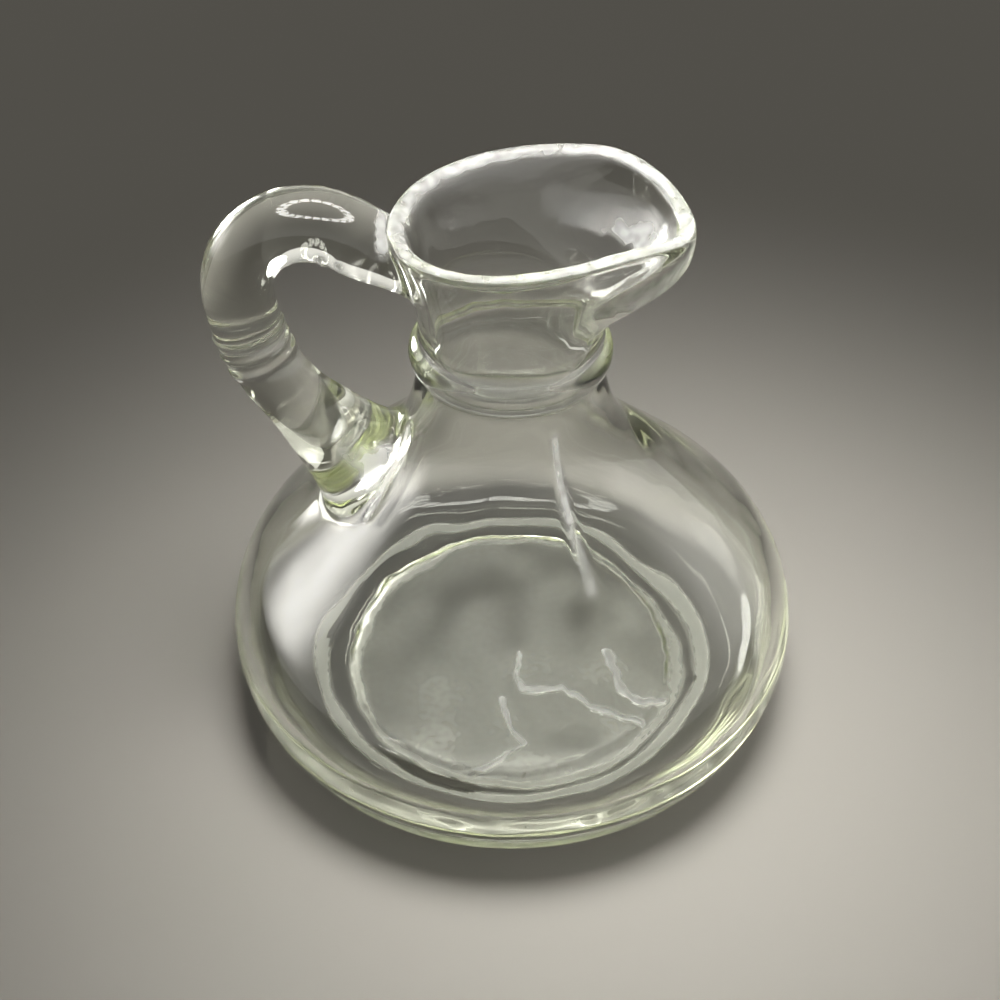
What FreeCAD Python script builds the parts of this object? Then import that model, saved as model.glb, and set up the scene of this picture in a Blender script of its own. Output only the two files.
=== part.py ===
import FreeCAD, Part
import math
import os

import Sketcher

# Small clear-glass cruet, blown in one piece: squat bowl, beaded neck, pulled pouring lip and solid handle.
# The origin is on the table under the middle of the bowl, +Z is up, the pouring lip is on +X and
# the handle is on -X. Lengths are in millimetres and angles in degrees.
SIZES = {
    # bowl, outside
    "bowl_radius": 50.2,
    "bulge_radius": 20.7,
    "bulge_height": 17.5,
    "heel_round": 7.0,
    "shoulder_lean": 46.5,
    "throat_round": 27.2,
    # underside
    "push_up_radius": 29.5,
    "push_up_depth": 1.6,
    "push_up_round": 3.0,
    # glass thickness
    "wall": 2.8,
    "floor_thickness": 5.0,
    "floor_round": 12.0,
    "lip_wall": 3.0,
    # neck and the bead round it
    "neck_base_radius": 15.0,
    "neck_radius": 14.3,
    "neck_length": 7.0,
    "bead_rise": 2.0,
    "bead_round": 2.6,
    "bead_stand": 0.4,
    # mouth and pouring lip
    "mouth_height": 19.2,
    "mouth_radius": 19.6,
    "spout_radius": 27.4,
    "spout_narrowness": 6.0,
    "rim_slope": 6.8,
    "rim_bow_start": 13.0,
    "rim_tip_drop": 7.2,
    "lip_round": 1.0,
    # handle
    "rod_radius": 5.6,
    "upper_flare": 1.2,
    "lower_flare": 2.4,
    "handle_inset": 8.8,
    "bend_radius": 11.3,
    "bend_drop": 13.7,
    "grip_radius": 34.0,
    "grip_turn": 36.0,
    "upper_dip": 35.0,
    "upper_run": 17.0,
    "weld_depth": 8.0,
    # finger-grip rings round the handle
    "ring_turn": 16.5,
    "ring_spacing": 2.7,
    "ring_round": 1.5,
    "ring_stand": 0.35,
}
RING_COUNT = 3
SECTION_POINTS = 24
# shares of the mouth's height at which level sections are drawn; the last lies above the rim
MOUTH_SHARES = (0.0, 0.15, 0.3, 0.45, 0.6, 0.8, 1.0, 1.35)
FLARE_POWER = 1.6
# share of the mouth's height at which the spout has its full reach
OUTER_FULL_REACH = 0.68
INNER_FULL_REACH = 0.85
# angle at which the bow of the rim ends, well past the spout's tip
BOW_END = 15
# how far a cut reaches past the glass
CUT_MARGIN = 1.0
# how near a point lies to the rim's line to count as on it
RIM_TOLERANCE = 0.05

# Heights and handle points that follow from the sizes, as expressions for the document.
FLOOR_HEIGHT = "(Sizes.push_up_depth + Sizes.floor_thickness)"
BULGE_CENTRE = "(Sizes.bowl_radius - Sizes.bulge_radius)"
SHOULDER_START_X = f"({BULGE_CENTRE} + Sizes.bulge_radius * cos(Sizes.shoulder_lean))"
SHOULDER_START_Z = "(Sizes.bulge_height + Sizes.bulge_radius * sin(Sizes.shoulder_lean))"
# the throat's curve ends where it has turned the shoulder's slope into the upright neck
SHOULDER_TOP = (
    f"({SHOULDER_START_Z} + ({SHOULDER_START_X} - Sizes.neck_base_radius) / tan(Sizes.shoulder_lean)"
    " + Sizes.throat_round * tan(Sizes.shoulder_lean / 2))"
)
BEAD_HEIGHT = f"({SHOULDER_TOP} + Sizes.bead_rise)"
WAIST_HEIGHT = f"({SHOULDER_TOP} + Sizes.neck_length)"
RIM_HEIGHT = f"({WAIST_HEIGHT} + Sizes.mouth_height)"
# the bow's circle leaves the rim's slope at its start and has dropped fully at the spout's tip
BOW_RADIUS = (
    "(((Sizes.spout_radius - Sizes.rim_bow_start)^2 + Sizes.rim_tip_drop^2) / (2 * Sizes.rim_tip_drop))"
)
HANDLE_REACH = "(Sizes.bowl_radius - Sizes.handle_inset)"
BEND_CENTRE = f"({HANDLE_REACH} - Sizes.bend_radius)"
BEND_HEIGHT = f"({RIM_HEIGHT} - Sizes.bend_drop)"
GRIP_CENTRE = f"({HANDLE_REACH} - Sizes.grip_radius)"
BEND_START_X = f"({BEND_CENTRE} - Sizes.bend_radius * sin(Sizes.upper_dip))"
BEND_START_Z = f"({BEND_HEIGHT} + Sizes.bend_radius * cos(Sizes.upper_dip))"
UPPER_END_X = f"({BEND_START_X} - Sizes.upper_run * cos(Sizes.upper_dip))"
UPPER_END_Z = f"({BEND_START_Z} - Sizes.upper_run * sin(Sizes.upper_dip))"
GRIP_END_X = f"({GRIP_CENTRE} + Sizes.grip_radius * cos(Sizes.grip_turn))"
GRIP_END_Z = f"({BEND_HEIGHT} - Sizes.grip_radius * sin(Sizes.grip_turn))"
# straight run from the end of the grip down to the shoulder's cone, plus the depth of the weld
LOWER_RUN = (
    f"((({GRIP_END_X} - {BULGE_CENTRE}) * cos(Sizes.shoulder_lean)"
    f" + ({GRIP_END_Z} - Sizes.bulge_height) * sin(Sizes.shoulder_lean) - Sizes.bulge_radius)"
    f" / sin(Sizes.grip_turn + Sizes.shoulder_lean) + Sizes.weld_depth)"
)
LOWER_END_X = f"({GRIP_END_X} - {LOWER_RUN} * sin(Sizes.grip_turn))"
LOWER_END_Z = f"({GRIP_END_Z} - {LOWER_RUN} * cos(Sizes.grip_turn))"

ORIGIN = (-1, 1)
X_AXIS = -1
Y_AXIS = -2
START, END, CENTRE = 1, 2, 3


def make_sheet(doc):
    sheet = doc.addObject("Spreadsheet::Sheet", "Sizes")
    for row, (alias, value) in enumerate(SIZES.items(), start=1):
        sheet.set(f"A{row}", alias)
        sheet.set(f"B{row}", str(value))
        sheet.setAlias(f"B{row}", alias)
    doc.recompute()
    return sheet


class Outline:
    """A sketch in one of the body's own planes, with sizes bound to the sheet."""

    def __init__(self, body, sheet, name, role):
        self.sheet = sheet
        self.sketch = body.newObject("Sketcher::SketchObject", name)
        plane = next(item for item in body.Origin.OriginFeatures if item.Role == role)
        self.sketch.AttachmentSupport = [(plane, "")]
        self.sketch.MapMode = "FlatFace"

    def value(self, expression):
        """What an expression of the sheet's sizes comes to."""
        return float(self.sheet.evalExpression(expression))

    def line(self, start, end):
        return self.sketch.addGeometry(Part.LineSegment(vector(*start), vector(*end)), False)

    def arc(self, centre, radius, first, last):
        """Anticlockwise arc between two angles in degrees."""
        circle = Part.Circle(vector(*centre), vector(0, 0, 1), radius)
        arc = Part.ArcOfCircle(circle, math.radians(first), math.radians(last))
        return self.sketch.addGeometry(arc, False)

    def circle(self, centre, radius):
        circle = Part.Circle(vector(*centre), vector(0, 0, 1), radius)
        return self.sketch.addGeometry(circle, False)

    def rule(self, kind, *places):
        return self.sketch.addConstraint(Sketcher.Constraint(kind, *places))

    def size(self, kind, places, expression):
        """Adds a dimension and ties it to an expression of the sheet's sizes."""
        factor = math.pi / 180 if kind == "Angle" else 1.0
        index = self.rule(kind, *places, self.value(expression) * factor)
        unit = "1 deg" if kind == "Angle" else "1 mm"
        self.sketch.setExpression(f"Constraints[{index}]", f"({expression}) * {unit}")

    def offset(self, path, expression):
        self.sketch.setExpression(f".AttachmentOffset.{path}", expression)


def vector(across, up, out=0.0):
    return FreeCAD.Vector(across, up, out)


def polar(centre, radius, angle):
    turn = math.radians(angle)
    return (centre[0] + radius * math.cos(turn), centre[1] + radius * math.sin(turn))


def bowl_outline(body, sheet, name, bottom, corner, wall, top):
    """Half section of the bowl: flat bottom, corner, bulge, cone of the shoulder, throat and neck."""
    outline = Outline(body, sheet, name, "XZ_Plane")
    value = outline.value
    bulge = (value(BULGE_CENTRE), value("Sizes.bulge_height"))
    bulge_radius_text = f"Sizes.bulge_radius - {wall}"
    neck_text = f"Sizes.neck_base_radius - {wall}"
    bulge_radius = value(bulge_radius_text)
    neck = value(neck_text)
    low = value(bottom)
    high = value(top)
    lean = value("Sizes.shoulder_lean")
    throat_top = value(SHOULDER_TOP)
    round_radius = value(corner)
    # the corner's circle touches the bottom and the inside of the bulge's circle
    rise = bulge[1] - low - round_radius
    corner_x = bulge[0] + math.sqrt((bulge_radius - round_radius) ** 2 - rise**2)
    corner_centre = (corner_x, low + round_radius)
    corner_angle = math.degrees(math.atan2(-rise, corner_x - bulge[0]))
    # the throat's circle touches the shoulder's line and the neck
    shoulder_start = polar(bulge, bulge_radius, lean)
    slope = 1 / math.tan(math.radians(lean))
    meeting = shoulder_start[1] + (shoulder_start[0] - neck) * slope
    throat_radius = (throat_top - meeting) / math.tan(math.radians(lean / 2))
    throat_centre = (neck + throat_radius, throat_top)
    throat_start = polar(throat_centre, throat_radius, 180 + lean)

    base = outline.line((0, low), (corner_x, low))
    heel = outline.arc(corner_centre, round_radius, -90, corner_angle)
    side = outline.arc(bulge, bulge_radius, corner_angle, lean)
    shoulder = outline.line(shoulder_start, throat_start)
    throat = outline.arc(throat_centre, throat_radius, 180, 180 + lean)
    straight = outline.line((neck, throat_top), (neck, high))
    lid = outline.line((neck, high), (0, high))
    middle = outline.line((0, high), (0, low))

    outline.rule("Horizontal", base)
    outline.rule("Tangent", base, END, heel, START)
    outline.rule("Tangent", heel, END, side, START)
    outline.rule("Tangent", side, END, shoulder, START)
    outline.rule("Tangent", shoulder, END, throat, END)
    outline.rule("Tangent", throat, START, straight, START)
    outline.rule("Coincident", straight, END, lid, START)
    outline.rule("Coincident", lid, END, middle, START)
    outline.rule("Coincident", middle, END, base, START)
    outline.rule("Vertical", straight)
    outline.rule("Horizontal", lid)
    outline.rule("PointOnObject", middle, START, Y_AXIS)
    outline.rule("PointOnObject", middle, END, Y_AXIS)
    outline.size("DistanceX", (*ORIGIN, side, CENTRE), BULGE_CENTRE)
    outline.size("DistanceY", (*ORIGIN, side, CENTRE), "Sizes.bulge_height")
    outline.size("Radius", (side,), bulge_radius_text)
    outline.size("Radius", (heel,), corner)
    outline.size("DistanceY", (*ORIGIN, base, START), bottom)
    outline.size("Angle", (shoulder,), "90 + Sizes.shoulder_lean")
    outline.size("DistanceX", (*ORIGIN, straight, START), neck_text)
    outline.size("DistanceY", (*ORIGIN, straight, START), SHOULDER_TOP)
    outline.size("DistanceY", (*ORIGIN, lid, END), top)
    return outline.sketch


def turned(body, kind, name, sketch):
    """Turns a half section round the upright axis, adding or removing glass."""
    feature = body.newObject(kind, name)
    feature.Profile = sketch
    feature.ReferenceAxis = (sketch, ["V_Axis"])
    feature.Angle = 360
    return feature


def push_up_outline(body, sheet):
    """The shallow recess under the floor, which leaves a ring for the cruet to stand on."""
    outline = Outline(body, sheet, "push_up_outline", "XZ_Plane")
    radius = outline.value("Sizes.push_up_radius")
    depth = outline.value("Sizes.push_up_depth")
    edge_round = outline.value("Sizes.push_up_round")
    sweep = math.degrees(math.acos(1 - depth / edge_round))
    ceiling_end = radius - edge_round * math.sin(math.radians(sweep))
    edge = outline.arc((ceiling_end, depth - edge_round), edge_round, 90 - sweep, 90)
    ceiling = outline.line((ceiling_end, depth), (0, depth))
    middle = outline.line((0, depth), (0, -CUT_MARGIN))
    under = outline.line((0, -CUT_MARGIN), (radius, -CUT_MARGIN))
    side = outline.line((radius, -CUT_MARGIN), (radius, 0))
    outline.rule("Tangent", edge, END, ceiling, START)
    outline.rule("Horizontal", ceiling)
    outline.rule("Coincident", ceiling, END, middle, START)
    outline.rule("Coincident", middle, END, under, START)
    outline.rule("Coincident", under, END, side, START)
    outline.rule("Coincident", side, END, edge, START)
    outline.rule("PointOnObject", middle, START, Y_AXIS)
    outline.rule("PointOnObject", middle, END, Y_AXIS)
    outline.rule("Horizontal", under)
    outline.rule("Vertical", side)
    outline.rule("PointOnObject", side, END, X_AXIS)
    outline.size("DistanceX", (*ORIGIN, side, END), "Sizes.push_up_radius")
    outline.size("DistanceY", (*ORIGIN, ceiling, END), "Sizes.push_up_depth")
    outline.size("Radius", (edge,), "Sizes.push_up_round")
    outline.rule("DistanceY", side, START, side, END, CUT_MARGIN)
    return outline.sketch


def bead_outline(body, sheet):
    outline = Outline(body, sheet, "bead_outline", "XZ_Plane")
    centre_x = "Sizes.neck_base_radius + Sizes.bead_stand - Sizes.bead_round"
    centre = (outline.value(centre_x), outline.value(BEAD_HEIGHT))
    ring = outline.circle(centre, outline.value("Sizes.bead_round"))
    outline.size("DistanceX", (*ORIGIN, ring, CENTRE), centre_x)
    outline.size("DistanceY", (*ORIGIN, ring, CENTRE), BEAD_HEIGHT)
    outline.size("Radius", (ring,), "Sizes.bead_round")
    return outline.sketch


def smooth_step(share):
    share = min(max(share, 0.0), 1.0)
    return share * share * (3 - 2 * share)


def mouth_radii(value, share, inside):
    """Radius of the round part and of the spout's tip, at a share of the way from waist to rim."""
    if inside:
        waist = value("Sizes.neck_base_radius - Sizes.wall")
        rim = value("Sizes.mouth_radius - Sizes.lip_wall")
        tip = value("Sizes.spout_radius - Sizes.lip_wall")
    else:
        waist = value("Sizes.neck_radius")
        rim = value("Sizes.mouth_radius")
        tip = value("Sizes.spout_radius")
    full_reach = INNER_FULL_REACH if inside else OUTER_FULL_REACH
    round_part = waist + (rim - waist) * share**FLARE_POWER
    spout_part = waist + (tip - waist) * smooth_step(share / full_reach)
    return round_part, max(round_part, spout_part)


def level_section(body, sheet, name, height, round_part, spout_part):
    """Level section through the mouth: a circle drawn out towards +X into the pouring lip."""
    outline = Outline(body, sheet, name, "XY_Plane")
    outline.offset("Base.z", f"{height} * 1 mm")
    narrowness = outline.value("Sizes.spout_narrowness")
    points = []
    for step in range(SECTION_POINTS):
        turn = 2 * math.pi * step / SECTION_POINTS
        share = ((1 + math.cos(turn)) / 2) ** narrowness
        radius = round_part + (spout_part - round_part) * share
        points.append(vector(radius * math.cos(turn), radius * math.sin(turn)))
    curve = Part.BSplineCurve()
    curve.interpolate(Points=points, PeriodicFlag=True)
    outline.sketch.addGeometry(curve, False)
    return outline.sketch


def mouth(body, sheet, name, inside):
    """Loft from the bead up through the waist and past the rim, of the outside or of the inside."""
    value = sheet.evalExpression
    base = value("Sizes.neck_base_radius - Sizes.wall") if inside else value("Sizes.neck_base_radius")
    sections = [level_section(body, sheet, f"{name}_0", BEAD_HEIGHT, base, base)]
    for number, share in enumerate(MOUTH_SHARES, start=1):
        height = f"({WAIST_HEIGHT} + Sizes.mouth_height * {share})"
        round_part, spout_part = mouth_radii(value, share, inside)
        sections.append(level_section(body, sheet, f"{name}_{number}", height, round_part, spout_part))
    kind = "PartDesign::SubtractiveLoft" if inside else "PartDesign::AdditiveLoft"
    loft = body.newObject(kind, name)
    loft.Profile = sections[0]
    loft.Sections = sections[1:]
    loft.Ruled = False
    return loft


def rim_outline(body, sheet):
    """Side view of what is cut off above the rim, which rises to the spout and bows down at its tip."""
    outline = Outline(body, sheet, "rim_outline", "XZ_Plane")
    value = outline.value
    slope = value("Sizes.rim_slope")
    bow_radius = value(BOW_RADIUS)
    bow_start = value("Sizes.rim_bow_start")
    behind = -2 * value("Sizes.mouth_radius")
    above = value(RIM_HEIGHT) + value("Sizes.mouth_height")
    rise = math.tan(math.radians(slope))
    low = (behind, value(RIM_HEIGHT) + behind * rise)
    crest = (bow_start, value(RIM_HEIGHT) + bow_start * rise)
    bow_centre = polar(crest, bow_radius, slope - 90)
    tip = polar(bow_centre, bow_radius, BOW_END)
    back = outline.line(low, crest)
    bow = outline.arc(bow_centre, bow_radius, BOW_END, 90 + slope)
    front = outline.line(tip, (tip[0], above))
    lid = outline.line((tip[0], above), (behind, above))
    rear = outline.line((behind, above), low)
    outline.rule("Tangent", back, END, bow, END)
    outline.rule("Coincident", bow, START, front, START)
    outline.rule("Coincident", front, END, lid, START)
    outline.rule("Coincident", lid, END, rear, START)
    outline.rule("Coincident", rear, END, back, START)
    outline.rule("Vertical", front)
    outline.rule("Horizontal", lid)
    outline.rule("Vertical", rear)
    outline.size("Radius", (bow,), BOW_RADIUS)
    outline.size("Angle", (back,), "Sizes.rim_slope")
    outline.size("DistanceX", (*ORIGIN, back, END), "Sizes.rim_bow_start")
    crest_height = f"{RIM_HEIGHT} + Sizes.rim_bow_start * tan(Sizes.rim_slope)"
    outline.size("DistanceY", (*ORIGIN, back, END), crest_height)
    outline.size("DistanceX", (back, START, *ORIGIN), "2 * Sizes.mouth_radius")
    outline.size("DistanceY", (*ORIGIN, lid, END), f"{RIM_HEIGHT} + Sizes.mouth_height")
    outline.size("DistanceX", (bow, CENTRE, bow, START), f"{BOW_RADIUS} * cos({BOW_END})")
    return outline.sketch


def trim_rim(body, sheet):
    cut = body.newObject("PartDesign::Pocket", "rim_cut")
    cut.Profile = rim_outline(body, sheet)
    cut.Type = "ThroughAll"
    cut.Midplane = True
    return cut


def rim_height_at(value, across):
    """Height of the rim's cut, at a distance from the middle towards the spout."""
    rise = math.tan(math.radians(value("Sizes.rim_slope")))
    bow_radius = value(BOW_RADIUS)
    bow_start = value("Sizes.rim_bow_start")
    if across <= bow_start:
        return value(RIM_HEIGHT) + across * rise
    crest = (bow_start, value(RIM_HEIGHT) + bow_start * rise)
    centre = polar(crest, bow_radius, value("Sizes.rim_slope") - 90)
    reach = min(across - centre[0], bow_radius)
    return centre[1] + math.sqrt(bow_radius**2 - reach**2)


def on_lip(value, point, inside):
    """Whether a point lies on the rim's cut, on the inner or the outer side of the lip's middle line."""
    if abs(point.z - rim_height_at(value, point.x)) > RIM_TOLERANCE:
        return False
    turn = math.atan2(point.y, point.x)
    inner_round, inner_spout = mouth_radii(value, 1.0, inside=True)
    outer_round, outer_spout = mouth_radii(value, 1.0, inside=False)
    share = ((1 + math.cos(turn)) / 2) ** value("Sizes.spout_narrowness")
    inner = inner_round + (inner_spout - inner_round) * share
    outer = outer_round + (outer_spout - outer_round) * share
    return (math.hypot(point.x, point.y) < (inner + outer) / 2) == inside


def round_lip(doc, body, sheet, name, inside):
    """Rounds the sharp edges that the rim's cut has left on one side of the lip."""
    doc.recompute()
    tip = body.Tip
    # an edge shorter than this is only where the handle's weld crosses the lip
    shortest = 2 * sheet.evalExpression("Sizes.lip_wall")
    edges = []
    for number, edge in enumerate(tip.Shape.Edges, start=1):
        on_side = all(on_lip(sheet.evalExpression, point, inside) for point in edge.discretize(9))
        if on_side and edge.Length > shortest:
            edges.append(f"Edge{number}")
    fillet = body.newObject("PartDesign::Fillet", name)
    fillet.Base = (tip, edges)
    fillet.setExpression("Radius", "Sizes.lip_round * 1 mm")
    return fillet


def handle_spine(body, sheet):
    """Middle line of the handle between its two straight ends: a tight bend, then a long gentle grip."""
    outline = Outline(body, sheet, "handle_spine", "XZ_Plane")
    value = outline.value
    bend_centre = (-value(BEND_CENTRE), value(BEND_HEIGHT))
    grip_centre = (-value(GRIP_CENTRE), value(BEND_HEIGHT))
    bend = outline.arc(bend_centre, value("Sizes.bend_radius"), 90 - value("Sizes.upper_dip"), 180)
    grip = outline.arc(grip_centre, value("Sizes.grip_radius"), 180, 180 + value("Sizes.grip_turn"))
    outline.rule("Tangent", bend, END, grip, START)
    outline.rule("Horizontal", bend, CENTRE, grip, CENTRE)
    outline.size("DistanceX", (bend, CENTRE, *ORIGIN), BEND_CENTRE)
    outline.size("DistanceY", (*ORIGIN, bend, CENTRE), BEND_HEIGHT)
    outline.size("Radius", (bend,), "Sizes.bend_radius")
    outline.size("Radius", (grip,), "Sizes.grip_radius")
    outline.size("DistanceX", (bend, START, *ORIGIN), BEND_START_X)
    outline.size("DistanceX", (grip, END, *ORIGIN), GRIP_END_X)
    return outline.sketch


def rod_section(body, sheet, name, reach, height, lean, radius):
    """Round section of the handle, square to its middle line."""
    outline = Outline(body, sheet, name, "XY_Plane")
    outline.sketch.AttachmentOffset = FreeCAD.Placement(vector(0, 0), FreeCAD.Rotation(vector(0, 1), 1.0))
    outline.offset("Base.x", f"-{reach} * 1 mm")
    outline.offset("Base.z", f"{height} * 1 mm")
    outline.offset("Rotation.Angle", f"({lean}) * 1 deg")
    ring = outline.circle((0, 0), outline.value(radius))
    outline.rule("Coincident", ring, CENTRE, *ORIGIN)
    outline.size("Radius", (ring,), radius)
    return outline.sketch


def handle_rod(body, sheet):
    """Round rod along the bend and the grip."""
    pipe = body.newObject("PartDesign::AdditivePipe", "handle_rod")
    pipe.Profile = rod_section(
        body, sheet, "rod_start", BEND_START_X, BEND_START_Z, "90 + Sizes.upper_dip", "Sizes.rod_radius"
    )
    pipe.Spine = (handle_spine(body, sheet), ["Edge1", "Edge2"])
    pipe.Transition = "Round corner"
    return pipe


def weld(body, sheet, name, lean, near, far, flare):
    """Flared end of the handle, from the rod into the wall of the bowl or the mouth."""
    cone = body.newObject("PartDesign::AdditiveLoft", name)
    cone.Profile = rod_section(body, sheet, f"{name}_near", *near, lean, "Sizes.rod_radius")
    cone.Sections = [rod_section(body, sheet, f"{name}_far", *far, lean, f"(Sizes.rod_radius + {flare})")]
    cone.Ruled = True
    return cone


def grip_ring(body, sheet, number):
    """One shallow ring round the grip, turned about the middle line's direction there."""
    outline = Outline(body, sheet, f"grip_ring_{number}_outline", "XZ_Plane")
    outline.sketch.AttachmentOffset = FreeCAD.Placement(vector(0, 0), FreeCAD.Rotation(vector(0, 0, 1), 1.0))
    outline.offset("Base.x", f"-{GRIP_CENTRE} * 1 mm")
    outline.offset("Base.y", f"{BEND_HEIGHT} * 1 mm")
    place = number - (RING_COUNT + 1) / 2
    spread = f"{place} * Sizes.ring_spacing / Sizes.grip_radius * 180 / pi"
    outline.offset("Rotation.Angle", f"(Sizes.ring_turn + {spread}) * 1 deg")
    reach = "Sizes.grip_radius + Sizes.rod_radius + Sizes.ring_stand - Sizes.ring_round"
    ring = outline.circle((-outline.value(reach), 0), outline.value("Sizes.ring_round"))
    grip_radius = outline.value("Sizes.grip_radius")
    axis = outline.line((-grip_radius, 0), (-grip_radius, outline.value("Sizes.rod_radius")))
    outline.sketch.toggleConstruction(axis)
    outline.rule("PointOnObject", ring, CENTRE, X_AXIS)
    outline.rule("PointOnObject", axis, START, X_AXIS)
    outline.rule("Vertical", axis)
    outline.size("DistanceX", (ring, CENTRE, *ORIGIN), reach)
    outline.size("DistanceX", (axis, START, *ORIGIN), "Sizes.grip_radius")
    outline.size("DistanceY", (*ORIGIN, axis, END), "Sizes.rod_radius")
    outline.size("Radius", (ring,), "Sizes.ring_round")
    feature = body.newObject("PartDesign::Revolution", f"grip_ring_{number}")
    feature.Profile = outline.sketch
    feature.ReferenceAxis = (outline.sketch, ["Axis0"])
    feature.Angle = 360
    return feature


def build(doc):
    sheet = make_sheet(doc)
    body = doc.addObject("PartDesign::Body", "cruet")
    body.Label = "cruet"
    outside = bowl_outline(body, sheet, "bowl_outline", "0", "Sizes.heel_round", "0", BEAD_HEIGHT)
    turned(body, "PartDesign::Revolution", "bowl", outside)
    turned(body, "PartDesign::Groove", "push_up", push_up_outline(body, sheet))
    turned(body, "PartDesign::Revolution", "bead", bead_outline(body, sheet))
    mouth(body, sheet, "mouth", inside=False)
    trim_rim(body, sheet)
    upper_near = (BEND_START_X, BEND_START_Z)
    upper_far = (UPPER_END_X, UPPER_END_Z)
    weld(body, sheet, "upper_weld", "90 + Sizes.upper_dip", upper_near, upper_far, "Sizes.upper_flare")
    handle_rod(body, sheet)
    lower_near = (GRIP_END_X, GRIP_END_Z)
    lower_far = (LOWER_END_X, LOWER_END_Z)
    weld(body, sheet, "lower_weld", "-Sizes.grip_turn", lower_near, lower_far, "Sizes.lower_flare")
    for number in range(1, RING_COUNT + 1):
        grip_ring(body, sheet, number)
    hollow = bowl_outline(
        body, sheet, "hollow_outline", FLOOR_HEIGHT, "Sizes.floor_round", "Sizes.wall", BEAD_HEIGHT
    )
    turned(body, "PartDesign::Groove", "hollow", hollow)
    mouth(body, sheet, "throat", inside=True)
    round_lip(doc, body, sheet, "lip_inside", inside=True)
    round_lip(doc, body, sheet, "lip_outside", inside=False)
    doc.recompute()
    return body


def check(doc, body):
    for item in doc.Objects:
        if "Invalid" in item.State or "Error" in item.State:
            raise RuntimeError(f"{item.Name} failed: {item.State}")
    if body.Shape.isNull() or not body.Shape.isValid():
        raise RuntimeError(f"{body.Label} has no valid shape")


def main():
    doc = FreeCAD.newDocument("Cruet")
    body = build(doc)
    check(doc, body)
    os.makedirs("parts", exist_ok=True)
    body.Shape.exportStep(f"parts/{body.Label}.step")
    print(body.Label, len(body.Shape.Solids), round(body.Shape.Volume), body.Shape.BoundBox)


main()
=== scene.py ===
import math

import bmesh
import bpy
from mathutils import Matrix, Vector, noise


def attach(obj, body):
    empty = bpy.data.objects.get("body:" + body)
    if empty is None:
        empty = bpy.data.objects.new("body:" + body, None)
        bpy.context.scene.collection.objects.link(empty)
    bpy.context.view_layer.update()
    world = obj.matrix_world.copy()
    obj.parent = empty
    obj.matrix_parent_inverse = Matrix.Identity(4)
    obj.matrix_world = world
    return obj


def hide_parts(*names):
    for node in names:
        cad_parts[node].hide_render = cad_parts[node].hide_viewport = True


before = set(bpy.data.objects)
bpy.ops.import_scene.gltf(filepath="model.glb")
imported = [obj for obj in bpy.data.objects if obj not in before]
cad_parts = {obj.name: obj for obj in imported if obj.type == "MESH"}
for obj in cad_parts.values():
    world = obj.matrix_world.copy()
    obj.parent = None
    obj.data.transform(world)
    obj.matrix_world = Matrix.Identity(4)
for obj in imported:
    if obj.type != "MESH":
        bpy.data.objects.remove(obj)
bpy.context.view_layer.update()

MM = 0.001
SIDES = 52
HALF_TURN = math.pi
FULL_TURN = 2 * math.pi

# bowl and neck, in millimetres: places are a reach from the axis and a height above the table
BULGE_CENTRE = (29.5, 17.5)
BULGE_RADIUS = 20.7
LEAN = 46.5
HEEL_END = -50.0
THROAT_CENTRE = (42.2, 71.5)
THROAT_RADIUS = 27.2
WALL = 2.8
FLOOR_TOP = 6.6
FLOOR_CORNER = (35.3, 18.6)
FLOOR_CORNER_RADIUS = 12.0
FLOOR_CORNER_START = 10.7
INNER_SHOULDER = 27.9 + math.radians(LEAN) * (THROAT_RADIUS + WALL)

# underside, from the middle of the push-up out to the foot ring and the heel
PUSH_UP_ROWS = (
    (0, 1.6),
    (6.5, 1.6),
    (13, 1.6),
    (19, 1.58),
    (24.5, 1.52),
    (28.0, 1.45),
    (29.3, 1.2),
    (30.1, 0.3),
)
FOOT_ROWS = (
    (31.2, 0.02),
    (33.8, 0),
    (36.4, 0.02),
    (37.1, 0.2),
    (37.5, 0.42),
    (38.4, 0.5),
    (40.4, 0.85),
)

# rows up the shoulder, as lengths along it, and the bead round the neck
SHOULDER_RUNS = (4.6, 9.2, 13.2, 16.2, 18.6, 21.2, 23.8, 26.4, 29.0, 31.6, 34.2, 37.4, 41.0, 44.6)
BEAD_ROWS = (
    (14.5, 70.2),
    (14.7, 71.0),
    (15.7, 71.7),
    (16.15, 73.3),
    (15.8, 74.9),
    (14.7, 75.8),
    (14.3, 76.9),
)

# mouth
WAIST_Z = 78.5
WAIST_OUTSIDE = 14.25
WAIST_INSIDE = 12.2
MOUTH_HEIGHT = 19.2
RIM_OUTSIDE = 19.6
RIM_INSIDE = 16.6
SPOUT_OUTSIDE = 27.4
SPOUT_INSIDE = 24.4
SPOUT_NARROWNESS = 6
FLARE_POWER = 1.6
OUTSIDE_FULL_REACH = 0.68
INSIDE_FULL_REACH = 0.85
RIM_Z = 97.7
RIM_SLOPE = math.tan(math.radians(6.8))
BOW_START = 13.0
BOW_RADIUS = 18.0
LIP_RISE = 1.4

# handle: a short straight run out of the mouth, a tight bend, a long gentle bend and a run into the shoulder
UPPER_RUN = 3.2
UPPER_DIP = 35
BEND_CENTRE = (30.1, 84.0)
BEND_RADIUS = 11.3
BEND_TURN = 125
GRIP_CENTRE = (7.4, 84.0)
GRIP_RADIUS = 34.0
GRIP_TURN = 36.0
LOWER_RUN = 6.4
BEND_END = UPPER_RUN + BEND_RADIUS * math.radians(BEND_TURN)
HANDLE_END = BEND_END + GRIP_RADIUS * math.radians(GRIP_TURN) + LOWER_RUN
ROD_RADIUS = 5.6
ROD_SIDES = 24
FLARE = 0.9
FLARE_LENGTH = 7

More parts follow.
